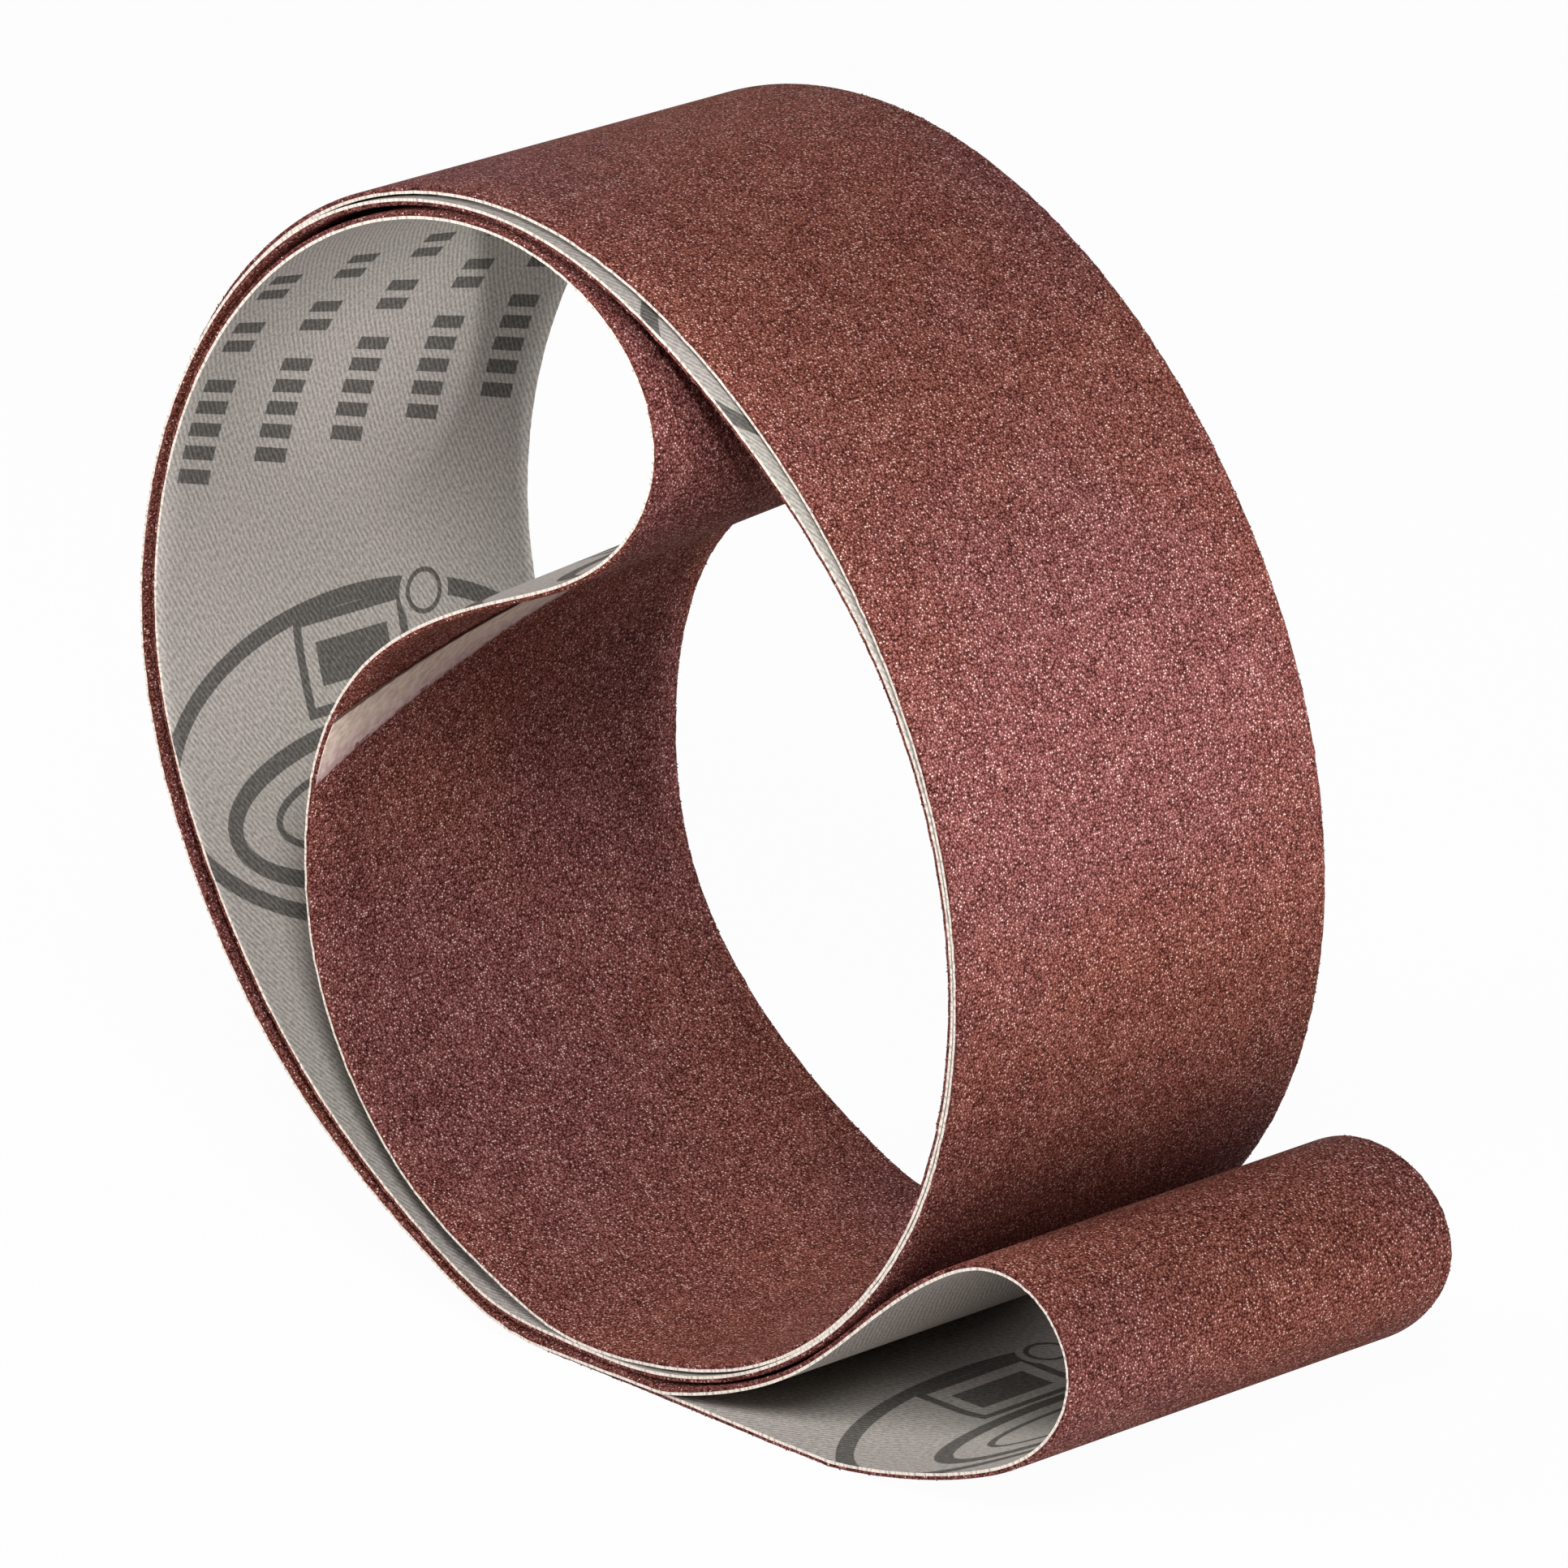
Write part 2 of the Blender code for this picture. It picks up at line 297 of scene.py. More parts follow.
# Bake layout: the belt cut into lengths that lie side by side, broad for the face that is seen
BAKE_LENGTHS = 5
BAKE_SEEN = 75.0
BAKE_HIDDEN = 6.0
BAKE_EDGE = 1.8
BAKE_GAP = 0.8
BAKE_MARGIN = 0.002
BAKE_BELT_SHARE = 0.94


def bake_rows(columns, seen_face):
    """Share of one length's height where each strip round the belt starts and ends."""
    broad, narrow = BAKE_SEEN / columns, BAKE_HIDDEN / columns
    back, front = (broad, narrow) if seen_face == "back" else (narrow, broad)
    starts = []
    height = BAKE_GAP
    for size, strips in ((back, columns), (BAKE_EDGE, 1), (front, columns), (BAKE_EDGE, 1)):
        for _ in range(strips):
            starts.append((height, height + size))
            height += size
        height += BAKE_GAP
    return np.array(starts) / height


def mesh_piece(name, vertices, faces, layers, materials):
    """One smooth mesh object in the scene, its UV layers given by name with a pair for each face corner."""
    mesh = bpy.data.meshes.new(name)
    mesh.from_pydata(vertices.tolist(), [], faces)
    for layer, corners in layers.items():
        mesh.uv_layers.new(name=layer).uv.foreach_set("vector", np.array(corners, np.float32).ravel())
    for material in materials:
        mesh.materials.append(material)
    mesh.shade_smooth()
    mesh.set_sharp_from_angle(angle=SHARP_ANGLE)
    piece = bpy.data.objects.new(name, mesh)
    bpy.context.scene.collection.objects.link(piece)
    return piece


def closed_layer(name, inside, outside, columns, materials, ragged, seen_face, crumbled=0.0, loose=None):
    """One layer of the belt as a closed mesh: back, far edge, front, near edge.

    Its UV layers are metres along and across the belt, and the bake layout. The cut edges take the second
    material, stand out by the ragged amount, and are lower at the front by the crumbled amount.
    """
    share = np.linspace(0, 1, columns - 1)
    share = np.concatenate([[0, EDGE_STRIP], share[1:-1], [1 - EDGE_STRIP, 1]])
    back_near, back_far = belt_edges(belt_line, inside)
    front_near, front_far = belt_edges(belt_line, outside)
    low_near, low_far = belt_edges(belt_line, outside - crumbled)
    back = back_near[:, None] + (back_far - back_near)[:, None] * share[None, :, None]
    front = front_near[:, None] + (front_far - front_near)[:, None] * share[None, :, None]
    front[:, 0], front[:, -1] = low_near, low_far
    noise = np.abs(np.random.default_rng(CUT_SEED).normal(0, ragged, (len(belt_line), 4)))
    edges = ((back, 0, -1), (back, -1, 1), (front, 0, -1), (front, -1, 1))
    for pick, (sheet, column, sign) in enumerate(edges):
        sheet[:, column, 1] += sign * noise[:, pick]
    ring = np.concatenate([back, front[:, ::-1]], axis=1)
    count, around = ring.shape[:2]
    across = np.concatenate([share, share[::-1]]) * BELT_WIDTH
    bake = bake_rows(columns, seen_face)
    cuts = np.linspace(0, count, BAKE_LENGTHS + 1).astype(int)
    faces = []
    uvs = []
    bake_uvs = []
    slots = []
    for part in range(BAKE_LENGTHS):
        run_start, run_end = belt_run[cuts[part]], belt_run[cuts[part + 1]]
        scale = (1 - 2 * BAKE_MARGIN) / (run_end - run_start)
        for i in range(cuts[part], cuts[part + 1]):
            here, there = i * around, ((i + 1) % count) * around
            left = BAKE_MARGIN + (belt_run[i] - run_start) * scale
            right = BAKE_MARGIN + (belt_run[i + 1] - run_start) * scale
            for p in range(around):
                q = (p + 1) % around
                faces.append((here + p, there + p, there + q, here + q))
                along = (belt_run[i], belt_run[i + 1], belt_run[i + 1], belt_run[i])
                over = (across[p], across[p], across[q], across[q])
                uvs += list(zip(along, over))
                low, high = (part + bake[p]) / BAKE_LENGTHS * BAKE_BELT_SHARE
                bake_uvs += [(left, low), (right, low), (right, high), (left, high)]
                slots.append(1 if p in (columns, around - 1) else 0)
    vertices = ring.reshape(-1, 3)
    if loose is not None:
        loose_vertices, loose_faces, loose_bake = loose
        faces += (loose_faces + len(vertices)).tolist()
        vertices = np.vstack([vertices, loose_vertices])
        uvs += [(0.0, 0.0)] * loose_faces.size
        bake_uvs += loose_bake.tolist()
        slots += [1] * len(loose_faces)
    piece = mesh_piece(name, vertices, faces, {"run": uvs, "OFBake": bake_uvs}, materials)
    piece.data.polygons.foreach_set("material_index", slots)
    return piece


class Socket:
    """A shader socket that takes part in Python sums. Each operator adds one Math node to its tree."""

    def __init__(self, tree, socket=None):
        self.tree = tree
        self.socket = socket

    def node(self, kind, settings=(), inputs=(), output=0):
        """One node of a type, its settings set first, then the values or links of its sockets."""
        made = self.tree.nodes.new(kind)
        for name, value in dict(settings).items():
            if name == "stops":
                ramp = made.color_ramp
                while len(ramp.elements) < len(value):
                    ramp.elements.new(0.5)
                for element, (position, colour) in zip(ramp.elements, value):
                    element.position = position
                    element.color = (*colour, 1)
            else:
                setattr(made, name, value)
        for name, value in dict(inputs).items():
            if isinstance(value, Socket):
                self.tree.links.new(value.socket, made.inputs[name])
            else:
                made.inputs[name].default_value = value
        return Socket(self.tree, made.outputs[output])

    def beside(self, output):
        """Another output of the node that this socket comes from."""
        return Socket(self.tree, self.socket.node.outputs[output])

    def math(self, operation, first, second=0.0):
        """One Math node on two values or sockets."""
        return self.node("ShaderNodeMath", {"operation": operation}, {0: first, 1: second})

    def __add__(self, other):
        return self.math("ADD", self, other)

    __radd__ = __add__

    def __sub__(self, other):
        return self.math("SUBTRACT", self, other)

    def __rsub__(self, other):
        return self.math("SUBTRACT", other, self)

    def __mul__(self, other):
        return self.math("MULTIPLY", self, other)

    __rmul__ = __mul__

    def __truediv__(self, other):
        return self.math("DIVIDE", self, other)

    def __rtruediv__(self, other):
        return self.math("DIVIDE", other, self)

    def __pow__(self, other):
        return self.math("POWER", self, other)

    def __rpow__(self, other):
        return self.math("POWER", other, self)

    def __abs__(self):
        return self.math("ABSOLUTE", self)

    def most(self, other):
        """The greater of the two."""
        return self.math("MAXIMUM", self, other)

    def repeat(self, period):
        """The value wrapped to run from 0 to the period."""
        return self.math("FLOORED_MODULO", self, period)

    def sine(self):
        return self.math("SINE", self)

    def step(self, low, high):
        """0 below low, 1 above high, smooth between."""
        return self.node("ShaderNodeMapRange", {"interpolation_type": "SMOOTHSTEP"},
                         {0: self, 1: low, 2: high, 3: 0.0, 4: 1.0})

    def mix(self, under, over):
        """Colour under where this socket is 0, over where it is 1."""
        under = under if isinstance(under, Socket) else (*under, 1)
        over = over if isinstance(over, Socket) else (*over, 1)
        return self.node("ShaderNodeMix", {"data_type": "RGBA"}, {0: self, 6: under, 7: over}, output=2)


def new_material(name, roughness, specular):
    """A material, its empty sum socket and its Principled shader with the plain values set."""
    material = bpy.data.materials.new(name)
    material.use_nodes = True
    shader = material.node_tree.nodes["Principled BSDF"]
    shader.inputs["Roughness"].default_value = roughness
    shader.inputs["Specular IOR Level"].default_value = specular
    return material, Socket(material.node_tree), shader


def belt_map(sums):
    """Metres along the belt and across it, as one vector."""
    return sums.node("ShaderNodeUVMap", {"uv_map": "run"})


# Guide print, in metres: its period along the belt, the middle of its ovals, its cut at the splice, its blur
PRINT_PERIOD = 0.2383
PRINT_CENTRE = 0.6990
PRINT_CUT = 0.9800
PRINT_BLUR = 0.0001
INK = (0.060, 0.056, 0.052)
INK_SHARE = 0.90
# Rows of dashes: pitch, start and middle across the belt, lean, first dash, pitch and half sizes of a dash
ROW_PITCH = 0.01525
ROW_START = 0.0021
ROW_MIDDLE = 0.0076
DASH_LEAN = 0.30
DASH_START = 0.0490
DASH_PITCH = 0.00416
DASH_HALF = 0.00125
DASH_REACH = 0.0033
# Groups of dashes in a row: middle and half length, counted in dashes
DASH_GROUPS = [(2.5, 2.5), (7, 1), (10, 1)]
# Framed bar: place along, then half sizes of the frame outside, the frame inside and the bar
BAR_PLACE = 0.0153
FRAME_OUTSIDE = (0.0078, 0.0112)
FRAME_INSIDE = (0.0062, 0.0096)
BAR_HALVES = (0.0034, 0.0072)
# Ovals: half length, half width and line, and how far the inner two are set along
OUTER_OVAL = (0.0245, 0.0403, 0.0027)
MIDDLE_OVAL = (0.0118, 0.0310, 0.0028)
INNER_OVAL = (0.0068, 0.0225, 0.0012)
OVAL_SHIFT = 0.0065
# Small ring: place along and across, radius, half of its line, and the clear space round it
RING_ALONG = 0.0217
RING_ACROSS = 0.0528
RING_RADIUS = 0.0032
RING_LINE_HALF = 0.0004
RING_CLEAR = 0.0049


def within(distance, limit):
    """1 where a distance is under the limit, 0 beyond it, over the blur of the ink."""
    return 1 - distance.step(limit - PRINT_BLUR, limit + PRINT_BLUR)


def oval_line(lay, over, half_length, half_width, line):
    """1 on a line of even width along an oval, 0 elsewhere."""
    reach = ((lay / half_length) ** 2 + (over / half_width) ** 2) ** 0.5
    slope = ((lay / half_length ** 2) ** 2 + (over / half_width ** 2) ** 2) ** 0.5
    return within(abs((reach - 1) * reach / slope.most(0.5)), line / 2)


def bar_mark(lay, over, half_length, half_width):
    """1 inside a rectangle, 0 elsewhere."""
    return within(abs(lay), half_length) * within(abs(over), half_width)


def guide_print(along, across):
    """Plain marks: five rows of slanted dashes, a small ring, nested ovals and a framed bar."""
    beyond_splice = along.math("GREATER_THAN", along, PRINT_CUT) * float(belt_run[-1])
    lay = (along - beyond_splice - PRINT_CENTRE + PRINT_PERIOD / 2).repeat(PRINT_PERIOD) - PRINT_PERIOD / 2
    over = across - BELT_WIDTH / 2
    row = (across + ROW_START).repeat(ROW_PITCH) - ROW_MIDDLE
    lean = lay + row * DASH_LEAN - DASH_START
    in_dash = within(abs(lean.repeat(DASH_PITCH) - DASH_PITCH / 2), DASH_HALF)
    groups = [bar_mark(lean - middle * DASH_PITCH, row, half * DASH_PITCH, DASH_REACH)
              for middle, half in DASH_GROUPS]
    group = groups[0].most(groups[1]).most(groups[2])
    on_bar = lay - BAR_PLACE
    shifted = lay + OVAL_SHIFT
    frame_bar = bar_mark(on_bar, over, *FRAME_OUTSIDE) - bar_mark(on_bar, over, *FRAME_INSIDE)
    marks = oval_line(lay, over, *OUTER_OVAL).most(frame_bar)
    marks = marks.most(bar_mark(on_bar, over, *BAR_HALVES))
    marks = marks.most(oval_line(shifted, over, *MIDDLE_OVAL))
    marks = marks.most(oval_line(shifted, over, *INNER_OVAL))
    ring_reach = ((lay - RING_ALONG) ** 2 + (across - RING_ACROSS) ** 2) ** 0.5
    marks = marks * (1 - within(ring_reach, RING_CLEAR))
    ring = within(abs(ring_reach - RING_RADIUS), RING_LINE_HALF)
    return marks.most(ring).most(in_dash * group)


# Twill: rib pitch and angle to the length, floats and yarns to the metre, then dark and pale of each colour
RIB_PITCH = 0.000783
RIB_ANGLE = math.radians(29.3)
FLOATS_DOWN_RIB = 1050
FLOATS_OVER_RIB = 2500
YARNS_PER_METRE = 2600
PINK_GREY = [(0.27, 0.245, 0.23), (0.66, 0.60, 0.565)]
SOILED_GREY = [(0.26, 0.245, 0.22), (0.62, 0.585, 0.53)]
CREAM_YARN = [(0.45, 0.36, 0.31), (0.80, 0.72, 0.64)]
YARN_TICKS_PER_METRE = 1500
CLOTH_RAGGED = 0.00006


def printed_twill():
    """Grey sized twill with its diagonal rib, slubs, faint soiling and the plain guide print."""
    material, sums, shader = new_material("printed_twill", 0.95, 0.03)
    flat = belt_map(sums)
    along = sums.node("ShaderNodeSeparateXYZ", (), {0: flat})
    across = along.beside(1)
    flat_noise = {"noise_dimensions": "2D"}
    wander = sums.node("ShaderNodeTexNoise", flat_noise, {"Vector": flat, "Scale": 90, "Detail": 1})
    soil = sums.node("ShaderNodeTexNoise", flat_noise, {"Vector": flat, "Scale": 22, "Detail": 3})
    down_rib = across * math.sin(RIB_ANGLE) - along * math.cos(RIB_ANGLE)
    over_rib = across * math.cos(RIB_ANGLE) + along * math.sin(RIB_ANGLE)
    rib_wave = ((over_rib / RIB_PITCH + wander * 0.8) * (2 * math.pi)).sine() * 0.5 + 0.5
    float_place = sums.node("ShaderNodeCombineXYZ", (),
                            {0: down_rib * FLOATS_DOWN_RIB, 1: over_rib * FLOATS_OVER_RIB})
    floats = sums.node("ShaderNodeTexNoise", flat_noise, {"Vector": float_place, "Scale": 1.0, "Detail": 2})
    yarn = sums.node("ShaderNodeTexNoise", flat_noise,
                     {"Vector": flat, "Scale": YARNS_PER_METRE, "Detail": 2})
    weave = rib_wave * 0.34 + floats.step(0.30, 0.70) * 0.32 + yarn * 0.58
    raised = weave.step(0.10, 1.15)
    cloth = soil.step(0.35, 0.75).mix(raised.mix(*PINK_GREY), raised.mix(*SOILED_GREY))
    ink = guide_print(along, across) * (INK_SHARE - raised * 0.20)
    colour = ink.mix(cloth, INK)
    sums.tree.links.new(colour.socket, shader.inputs["Base Color"])
    bump = sums.node("ShaderNodeBump", (), {"Strength": 0.3, "Distance": 0.0001, "Height": weave})
    sums.tree.links.new(bump.socket, shader.inputs["Normal"])
    return material


def raw_edge():
    """Cream cut edge of the cloth, yarn ends showing as short light and dark ticks."""
    material, sums, shader = new_material("raw_edge", 0.95, 0.03)
    along = sums.node("ShaderNodeSeparateXYZ", (), {0: belt_map(sums)})
    ticks = sums.node("ShaderNodeTexNoise", {"noise_dimensions": "1D"},
                      {"W": along, "Scale": YARN_TICKS_PER_METRE, "Detail": 4})
    colour = ticks.step(0.25, 0.60).mix(*CREAM_YARN)
    sums.tree.links.new(colour.socket, shader.inputs["Base Color"])
    bump = sums.node("ShaderNodeBump", (), {"Strength": 0.7, "Distance": 0.0002, "Height": ticks})
    sums.tree.links.new(bump.socket, shader.inputs["Normal"])
    return material


cloth = closed_layer("backing_twill", CLOTH_BACK, CLOTH_FRONT, LAYER_COLUMNS,
                     [printed_twill(), raw_edge()], CLOTH_RAGGED, "back")
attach(cloth, "root")
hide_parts("backing_cloth")


# Grain coat. Coarse aluminium oxide grain, set in red-brown resin over the whole face of the cloth.
# It is a layer about 0.65 mm deep that bends with the cloth and is cut with it along both edges.
COAT_INSIDE = 0.00005
COAT_CRUMBLED = 0.00020
COAT_RAGGED = 0.00009
GRAINS_PER_METRE = 2600
GRAIN_TONES = [
    (0.10, (0.026, 0.006, 0.005)),
    (0.40, (0.150, 0.045, 0.035)),
    (0.68, (0.31, 0.120, 0.100)),
    (0.90, (0.45, 0.23, 0.205)),
    (1.0, (0.60, 0.40, 0.37)),
]
# Pale colour painted on a few grains as a painted highlight, standing in for glints of light
PAINTED_GLINT = (0.88, 0.72, 0.67)
HUE_DRIFT = [(1.05, 0.965, 0.865), (0.98, 0.97, 1.08)]

# Loose grains at the cut edges: pitch, shift as a share of it, depth from the middle line, stand past the
# edge, size, unevenness, seed, and how many bake spots lie side by side
GRAIN_PITCH = 0.0005
GRAIN_SHIFT = 0.4
GRAIN_DEPTHS = (0.00020, 0.00058)
GRAIN_STAND = (-0.00008, 0.00006)
GRAIN_SIZES = (0.00012, 0.00023)
GRAIN_UNEVEN = 0.18
GRAIN_SEED = 23
BAKE_GRAINS_ACROSS = 340


def grain_faces(name, edge):
    """Closely packed grains in dark resin, with a few pale specks painted on as glints of light."""
    material, sums, shader = new_material(name, 0.8, 0.04)
    place = sums.node("ShaderNodeNewGeometry") if edge else belt_map(sums)
    dimensions = "3D" if edge else "2D"
    grains = {"voronoi_dimensions": dimensions, "feature": "F1"}
    noise = {"noise_dimensions": dimensions}
    near = sums.node("ShaderNodeTexVoronoi", grains, {"Vector": place, "Scale": GRAINS_PER_METRE})
    fine = sums.node("ShaderNodeTexVoronoi", grains, {"Vector": place, "Scale": 2 * GRAINS_PER_METRE})
    patch = sums.node("ShaderNodeTexNoise", noise, {"Vector": place, "Scale": 160, "Detail": 3})
    pick = sums.node("ShaderNodeSeparateColor", (), {0: near.beside("Color")})
    other = pick.beside(1)
    dome = 1 - near.step(0.05, 0.60)
    height = dome * (0.35 + other * 0.65) + (1 - fine) * 0.15
    tone = dome * 0.50 + pick * 0.42 + (1 - fine) * 0.12 + (patch - 0.5) * 0.20
    resin = sums.node("ShaderNodeValToRGB", {"stops": GRAIN_TONES}, {0: tone})
    # Painted highlight: a few grain cells take the pale glint colour in place of real glints of light
    painted_glint = pick.step(0.88, 0.92) * (1 - near.step(0.15, 0.36))
    drift = sums.node("ShaderNodeTexNoise", noise, {"Vector": place, "Scale": 12, "Detail": 4})
    hue = drift.step(0.36, 0.64).mix(*HUE_DRIFT)
    resin = sums.node("ShaderNodeMix", {"data_type": "RGBA", "blend_type": "MULTIPLY"},
                      {0: 1.0, 6: resin, 7: hue}, output=2)
    colour = painted_glint.mix(resin, PAINTED_GLINT)
    sums.tree.links.new(colour.socket, shader.inputs["Base Color"])
    gloss = 0.8 - other.step(0.8, 0.95) * 0.4
    sums.tree.links.new(gloss.socket, shader.inputs["Roughness"])
    bump = sums.node("ShaderNodeBump", (), {"Strength": 0.7, "Distance": 0.00014, "Height": height})
    sums.tree.links.new(bump.socket, shader.inputs["Normal"])
    return material


def belt_points(run, distance):
    """Near and far points at metres along the belt, at a distance outside the middle line."""
    points = []
    for edge in belt_edges(belt_line, distance):
        closed = np.vstack([edge, edge[:1]])
        points.append(np.column_stack([np.interp(run, belt_run, column) for column in closed.T]))
    return points


def edge_grains():
    """Sharp four-sided grains, a little proud of the coat's two cut edges, each with its own bake spot."""
    rng = np.random.default_rng(GRAIN_SEED)
    count = int(belt_run[-1] / GRAIN_PITCH)
    centres = []
    for edge, sign in ((0, -1), (1, 1)):
        run = (np.arange(count) + rng.uniform(-GRAIN_SHIFT, GRAIN_SHIFT, count)) * GRAIN_PITCH
        depth = rng.uniform(*GRAIN_DEPTHS, count)
        low_at, high_at = belt_points(run, 0.0)[edge], belt_points(run, COAT_OUTSIDE)[edge]
        centre = low_at + (high_at - low_at) * (depth / COAT_OUTSIDE)[:, None]
        centre[:, 1] += sign * rng.uniform(*GRAIN_STAND, count)
        centres.append(centre)
    centres = np.vstack(centres)
    corners = np.array([(1, 1, 1), (1, -1, -1), (-1, 1, -1), (-1, -1, 1)]) / math.sqrt(3)
    turns, _ = np.linalg.qr(rng.normal(size=(len(centres), 3, 3)))
    turns *= np.sign(np.linalg.det(turns))[:, None, None]
    sizes = rng.uniform(*GRAIN_SIZES, (len(centres), 1, 1))
    shapes = (corners + rng.normal(0, GRAIN_UNEVEN, (len(centres), 4, 3))) @ turns * sizes
    vertices = (centres[:, None] + shapes).reshape(-1, 3)
    sides = np.array([(0, 1, 2), (0, 2, 3), (0, 3, 1), (1, 3, 2)])
    faces = (np.arange(len(centres))[:, None, None] * 4 + sides).reshape(-1, 3)

    # Each grain's four sides lie in the corners of its own cell, in the strip above the belt's lengths
    up_cells = math.ceil(len(centres) / BAKE_GRAINS_ACROSS)
    cell = np.array([1 / BAKE_GRAINS_ACROSS, (1 - BAKE_BELT_SHARE) / up_cells])
    number = np.arange(len(centres))
    origin = np.column_stack([number % BAKE_GRAINS_ACROSS, number // BAKE_GRAINS_ACROSS]) * cell
    origin = origin + [0, BAKE_BELT_SHARE]
    a, b, c, d = 0.06, 0.44, 0.56, 0.94
    net = np.array([[(a, a), (b, a), (a, b)], [(d, a), (d, b), (c, a)],
                    [(a, d), (a, c), (b, d)], [(d, d), (c, d), (d, c)]])
    bake = origin[:, None, None] + net[None] * cell
    return vertices, faces, bake.reshape(-1, 2)


coat = closed_layer("grain_face", COAT_INSIDE, COAT_OUTSIDE, LAYER_COLUMNS,
                    [grain_faces("grain_face", False), grain_faces("grain_edge", True)], COAT_RAGGED, "front",
                    crumbled=COAT_CRUMBLED, loose=edge_grains())
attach(coat, "root")
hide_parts("grain_coat")


# Splice. A thin film band glued slantwise over the joint, 57 degrees to the edge, on the grain side.
# It is smooth and beige where the grain is ground off, with a dark glue line and a ragged lower edge.
SPLICE_START = 0.55
SPLICE_ANGLE = math.radians(57)
SPLICE_WIDTH = 0.0103
SPLICE_INSIDE = 0.00082
SPLICE_OUTSIDE = 0.00097
SPLICE_RAGGED = 0.00012
SPLICE_SEED = 11
SPLICE_LINES_OVER = 60
SPLICE_LINES_ALONG = 12
GLUE = (0.12, 0.06, 0.045)
WORN_FILM = (0.20, 0.09, 0.08)
BEIGE_FILM = [(0.60, 0.46, 0.37), (0.80, 0.68, 0.58)]
PINK_FILM = [(0.44, 0.29, 0.28), (0.68, 0.52, 0.49)]


def splice_film():
    """Beige film, pinker towards its lower side, mottled, with a dark glue line at the top."""
    material, sums, shader = new_material("splice_film", 0.55, 0.25)
    flat = belt_map(sums)
    over = sums.node("ShaderNodeSeparateXYZ", (), {0: flat})
    mottle = sums.node("ShaderNodeTexNoise", {"noise_dimensions": "2D"},
                       {"Vector": flat, "Scale": 700, "Detail": 4, "Roughness": 0.6})
    share = 1 - over / SPLICE_WIDTH
    glue = 1 - (share + (mottle - 0.5) * 0.03).step(0.03, 0.08)
    pinker = (share + (mottle - 0.5) * 0.5).step(0.45, 0.95)
    beige = mottle.step(0.3, 0.7).mix(*BEIGE_FILM)
    tinted = pinker.mix(beige, mottle.step(0.35, 0.65).mix(*PINK_FILM))
    worn_through = (share + (mottle - 0.5) * 0.45).step(0.92, 1.00)
    colour = worn_through.mix(glue.mix(tinted, GLUE), WORN_FILM)
    sums.tree.links.new(colour.socket, shader.inputs["Base Color"])
    bump = sums.node("ShaderNodeBump", (), {"Strength": 0.25, "Distance": 0.0001, "Height": mottle})
    sums.tree.links.new(bump.socket, shader.inputs["Normal"])
    return material


def splice_band():
    """The band as a closed strip that follows the belt's grain face."""
    across = np.linspace(0, 1, SPLICE_LINES_OVER + 1)
    slant = BELT_WIDTH / math.tan(SPLICE_ANGLE)
    broad = SPLICE_WIDTH / math.sin(SPLICE_ANGLE)
    length = BELT_WIDTH / math.sin(SPLICE_ANGLE)
    ragged = np.random.default_rng(SPLICE_SEED).normal(0, SPLICE_RAGGED, SPLICE_LINES_OVER + 1)
    sheets = []
    for distance in (SPLICE_INSIDE, SPLICE_OUTSIDE):
        sheet = []
        for share in np.linspace(0, 1, SPLICE_LINES_ALONG + 1):
            along = SPLICE_START * belt_run[-1] - slant * across - (broad + ragged) * share
            near, far = belt_points(along, distance)
            sheet.append(near + (far - near) * across[:, None])
        sheets.append(np.array(sheet))
    vertices = np.vstack([sheet.reshape(-1, 3) for sheet in sheets])

    # Places on the flat film, the two faces alike, then the faces of both sides and of the rim
    over, along = SPLICE_LINES_OVER + 1, SPLICE_LINES_ALONG + 1
    places = np.array([(i / SPLICE_LINES_ALONG * SPLICE_WIDTH, j / SPLICE_LINES_OVER * length)
                       for i in range(along) for j in range(over)] * 2)
    lid = over * along
    faces = []
    for i in range(along - 1):
        for j in range(over - 1):
            p, q, r, s = i * over + j, i * over + j + 1, (i + 1) * over + j + 1, (i + 1) * over + j
            faces += [(s, r, q, p), (lid + p, lid + q, lid + r, lid + s)]
    rim = list(range(over))
    rim += [i * over + over - 1 for i in range(1, along)]
    rim += [(along - 1) * over + j for j in range(over - 2, -1, -1)]
    rim += [i * over for i in range(along - 2, 0, -1)]
    for here, there in zip(rim, rim[1:] + rim[:1]):
        faces.append((here, there, lid + there, lid + here))
    corners = [places[v] for face in faces for v in face]
    return mesh_piece("splice_band", vertices, faces, {"run": corners}, [splice_film()])


splice = splice_band()
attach(splice, "root")
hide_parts("splice_strip")


# Floor. A plain pale studio sweep of matt board, laid flat under the roll.
# It is white to the camera and keeps a soft shadow of the roll.
FLOOR_REACH = 4
FLOOR_CORNERS = [(-1, -1), (1, -1), (1, 1), (-1, 1)]
FLOOR_COLOUR = (0.75, 0.75, 0.75)
FLOOR_GLOW = 0.97

floor_mesh = bpy.data.meshes.new("floor")
floor_mesh.from_pydata([(x * FLOOR_REACH, y * FLOOR_REACH, 0) for x, y in FLOOR_CORNERS], [], [(0, 1, 2, 3)])
floor = bpy.data.objects.new("floor", floor_mesh)
bpy.context.scene.collection.objects.link(floor)
floor_paint, floor_sums, floor_shader = new_material("floor_paint", 1.0, 0.0)
floor_shader.inputs["Base Color"].default_value = (*FLOOR_COLOUR, 1)
glow = floor_sums.node("ShaderNodeEmission", (), {"Color": (1, 1, 1, 1), "Strength": 1.0})
seen = floor_sums.node("ShaderNodeLightPath", output="Is Camera Ray")
seen = seen.most(seen.beside("Is Transmission Ray"))
clear = floor_sums.node("ShaderNodeMixShader", (), {0: seen * FLOOR_GLOW, 2: glow})
floor_paint.node_tree.links.new(floor_shader.outputs[0], clear.socket.node.inputs[1])
floor_paint.node_tree.links.new(clear.socket, floor_paint.node_tree.nodes["Material Output"].inputs[0])
floor_mesh.materials.append(floor_paint)


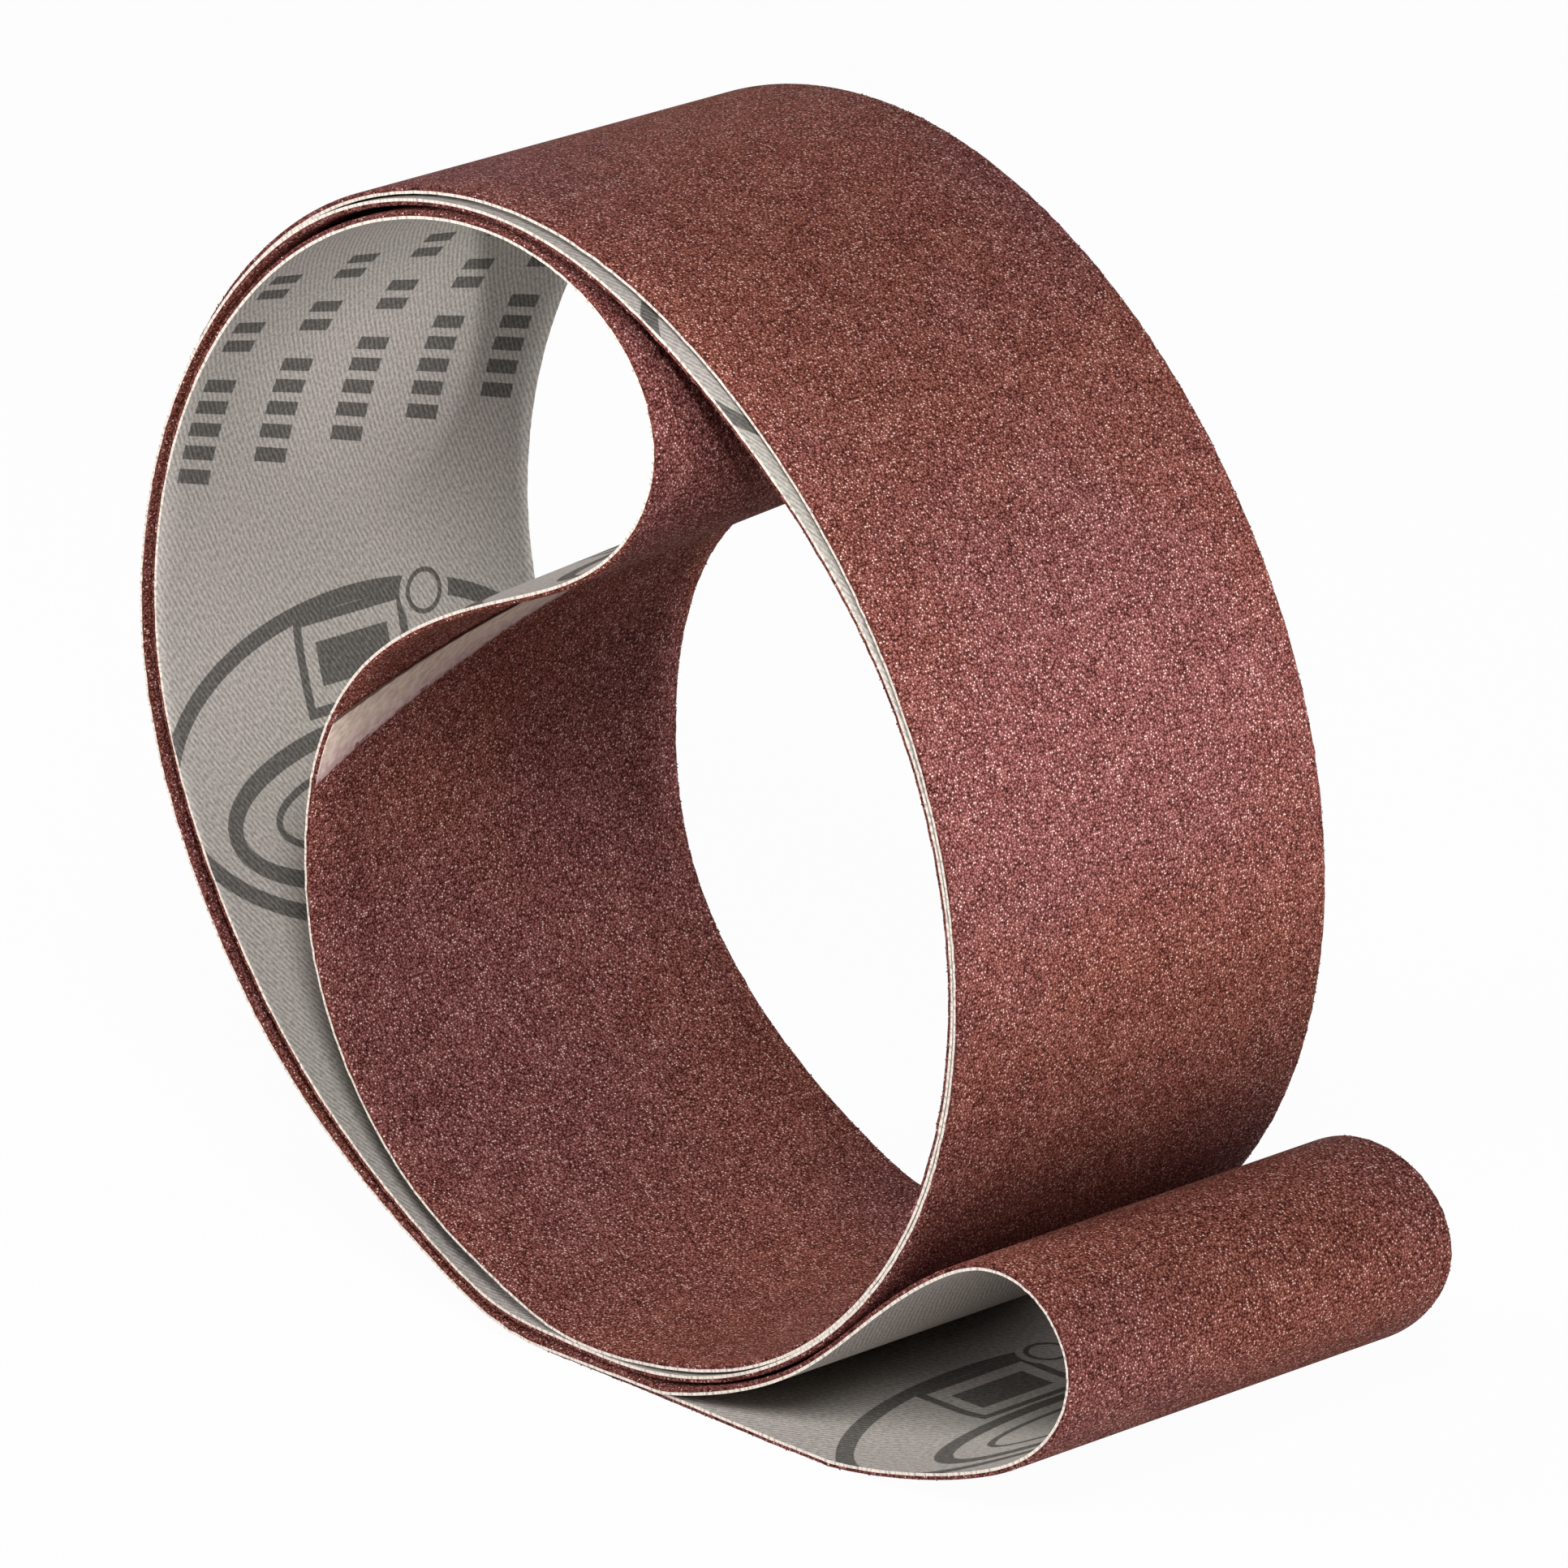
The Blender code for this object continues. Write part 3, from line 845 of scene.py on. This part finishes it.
# World. A white studio backdrop where the camera, gloss and glass see it.
# Elsewhere it is a weak grey fill, which adds next to no light to the roll.
WORLD_FILL = 0.02

world = bpy.data.worlds.new("studio")
bpy.context.scene.world = world
world.use_nodes = True
world_sums = Socket(world.node_tree)
background = world.node_tree.nodes["Background"]
background.inputs["Color"].default_value = (1, 1, 1, 1)
camera_ray = world_sums.node("ShaderNodeLightPath", output="Is Camera Ray")
glossy_ray = camera_ray.beside("Is Glossy Ray")
glass_ray = camera_ray.beside("Is Transmission Ray")
strength = camera_ray.most(glossy_ray).most(glass_ray) * (1 - WORLD_FILL) + WORLD_FILL
world.node_tree.links.new(strength.socket, background.inputs["Strength"])


# Lamps. Large soft boxes on stands, and three slim boxes with grids for the narrow streaks of light.
# Azimuth 0 shines from the open side of the roll, 90 from its right, and all powers are in watts.
LAMP_AIM = (0, 0, 0.08)
# Large boxes: name, azimuth, elevation, distance, size, power
LAMPS = [
    ("key", 48, 38, 1.6, 0.5, 18.0),
    ("front", -30, 20, 1.6, 0.6, 17.5),
    ("behind", 150, 27, 1.6, 0.6, 7.0),
]
SLIM_DISTANCE = 1.0
# Slim boxes: name, aim point, azimuth, elevation, width, height, grid degrees, power
SLIM_LAMPS = [
    ("slim_roll", (0.080, 0, 0.110), 90, 8, 0.26, 0.024, 8, 0.060),
    ("slim_foot", (0.098, 0, 0.020), 90, 0, 0.26, 0.006, 2, 0.008),
    ("slim_inside", (-0.014, -0.038, 0.150), 60, 8, 0.04, 0.020, 3.5, 0.004),
]


def stand(name, held, aim, azimuth, elevation, distance):
    """A lamp or the camera on its stand, at a distance from the point that it is turned to."""
    holder = bpy.data.objects.new(name, held)
    around, up = math.radians(azimuth), math.radians(elevation)
    away = np.array([math.sin(around) * math.cos(up), -math.cos(around) * math.cos(up), math.sin(up)])
    holder.location = np.array(aim) + away * distance
    holder.rotation_euler = (math.pi / 2 - up, 0, around)
    bpy.context.scene.collection.objects.link(holder)
    return holder


for name, azimuth, elevation, distance, size, power in LAMPS:
    lamp = bpy.data.lights.new(name, "AREA")
    lamp.shape = "DISK"
    lamp.size = size
    lamp.energy = power
    stand(name, lamp, LAMP_AIM, azimuth, elevation, distance)

for name, aim, azimuth, elevation, width, height, grid, power in SLIM_LAMPS:
    slim = bpy.data.lights.new(name, "AREA")
    slim.shape = "RECTANGLE"
    slim.size = width
    slim.size_y = height
    slim.spread = math.radians(grid)
    slim.energy = power
    stand(name, slim, aim, azimuth, elevation, SLIM_DISTANCE)


# Camera. A long lens about 2.2 m away, looking down 19 degrees at the open side and the right of the roll.
# Its angles, in degrees, and its distance and aim, in metres, are fitted to the outline of the roll.
CAMERA_AZIMUTH = 46.16
CAMERA_ELEVATION = 19.13
CAMERA_DISTANCE = 2.245
CAMERA_TARGET = (0.00003, -0.00099, 0.08272)
CAMERA_LENS = 354.04
CAMERA_SENSOR = 36
CAMERA_REACH = 50

camera_data = bpy.data.cameras.new("camera")
camera_data.sensor_width = CAMERA_SENSOR
camera_data.lens = CAMERA_LENS
camera_data.clip_end = CAMERA_REACH
camera = stand("camera", camera_data, CAMERA_TARGET, CAMERA_AZIMUTH, CAMERA_ELEVATION, CAMERA_DISTANCE)
bpy.context.scene.camera = camera
bpy.context.scene.view_settings.view_transform = "Standard"

bpy.context.view_layer.update()
